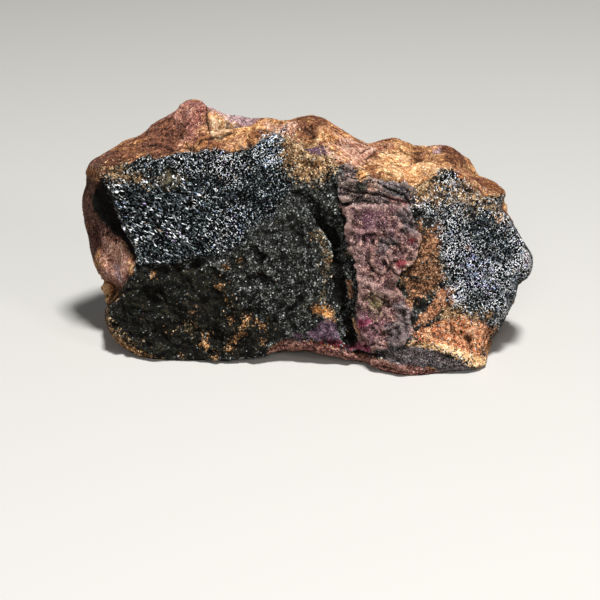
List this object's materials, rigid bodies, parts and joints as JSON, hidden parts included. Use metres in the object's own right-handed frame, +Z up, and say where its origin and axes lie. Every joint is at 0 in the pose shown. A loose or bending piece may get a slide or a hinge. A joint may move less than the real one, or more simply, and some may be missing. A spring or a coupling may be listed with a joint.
{
  "type": "pyrolusite specimen",
  "caption": "Rough hand specimen of black pyrolusite druse on iron-stained matrix, with a rusty rind and a flat broken base.",
  "frame": {"origin": "middle of the bounding box, on the flat base that the stone rests on", "axes": "+Z up from the base, +X along the stone's length, and the black druse faces -Y"},
  "size_m": [0.0922, 0.045, 0.0479],
  "materials": {
    "pyrolusite_stone": "rough broken stone with a sparkling black druse, rust and ochre stains"
  },
  "bodies": {
    "root": {"pyrolusite_rock": "pyrolusite_stone"}
  },
  "joints": []
}
